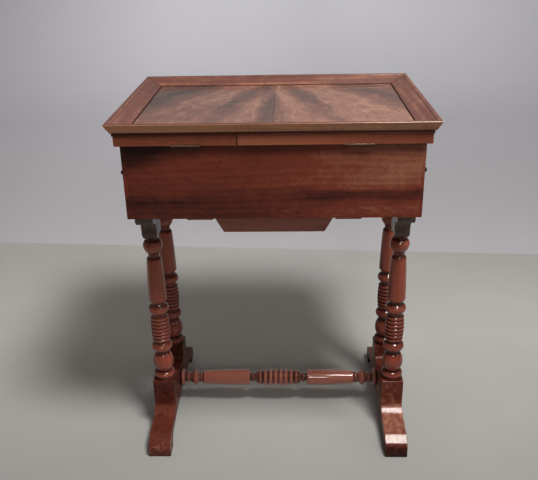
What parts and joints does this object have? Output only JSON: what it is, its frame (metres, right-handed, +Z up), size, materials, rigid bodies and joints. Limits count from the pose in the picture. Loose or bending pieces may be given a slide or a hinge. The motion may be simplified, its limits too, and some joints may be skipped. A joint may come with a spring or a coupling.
{
  "type": "sewing table",
  "caption": "Sewing table: hinged lid with mirror over a partitioned case, sliding wool trough below, on turned columns with sledge feet and a turned stretcher.",
  "frame": {"origin": "on the floor, under the middle of the table", "axes": "+Z up, -Y towards the hinged back of the lid, +Y towards the lock side where the trough pulls out, +X to the right seen from the back"},
  "size_m": [0.57, 0.418, 0.72],
  "materials": {
    "top_veneer": "satin",
    "rim_wood": "satin",
    "band_wood": "satin",
    "case_wood": "gloss",
    "turned_wood": "gloss",
    "foot_wood": "gloss",
    "ebonised_wood": "satin",
    "trough_wood": "satin",
    "carcass_wood": "matte",
    "tray_wood": "satin",
    "looking_glass": "polished",
    "brass": "satin",
    "steel": "satin",
    "blackened_iron": "satin",
    "velvet": "matte"
  },
  "bodies": {
    "table": {"capital_back_left": "ebonised_wood", "capital_back_right": "ebonised_wood", "capital_front_left": "ebonised_wood", "capital_front_right": "ebonised_wood", "case_back": "case_wood", "case_floor": "carcass_wood", "case_front": "case_wood", "case_left": "case_wood", "case_right": "case_wood", "case_screws": "brass", "column_back_left": "turned_wood", "column_back_right": "turned_wood", "column_front_left": "turned_wood", "column_front_right": "turned_wood", "escutcheon": "brass", "foot_left": "foot_wood", "foot_right": "foot_wood", "hinge_case_leaf_left": "brass", "hinge_case_leaf_right": "brass", "hinge_pins": "steel", "lock_bolt": "steel", "lock_case": "brass", "pincushion": "velvet", "runner_left": "trough_wood", "runner_right": "trough_wood", "side_screws": "blackened_iron", "stretcher": "turned_wood", "tray_back": "tray_wood", "tray_floor": "tray_wood", "tray_front": "tray_wood", "tray_ledges": "carcass_wood", "tray_left": "tray_wood", "tray_long_dividers": "tray_wood", "tray_right": "tray_wood", "tray_short_dividers": "tray_wood", "underside_screws": "steel"},
    "lid": {"rim_back": "rim_wood", "rim_front": "rim_wood", "rim_left": "rim_wood", "rim_right": "rim_wood", "top_panel": "top_veneer", "rim_fillet": "ebonised_wood", "lid_board": "carcass_wood", "band_back": "band_wood", "band_front": "band_wood", "band_left": "band_wood", "band_right": "band_wood", "lock_strike": "brass", "mirror": "looking_glass", "mirror_slips": "tray_wood", "lid_screws": "brass", "hinge_lid_leaf_left": "brass", "hinge_lid_leaf_right": "brass"},
    "trough": {"trough_back": "trough_wood", "trough_front": "trough_wood", "trough_left": "trough_wood", "trough_right": "trough_wood", "trough_lips": "trough_wood", "trough_floor": "trough_wood", "trough_knob": "trough_wood"}
  },
  "joints": [
    {"name": "lid_hinge", "type": "hinge", "parent": "table", "child": "lid", "pos_m": [0, -0.1954, 0.67825], "axis": [1, 0, 0], "range_deg": [0, 100]},
    {"name": "trough_slide", "type": "slide", "parent": "table", "child": "trough", "axis": [0, 1, 0], "range_m": [0, 0.22]}
  ]
}
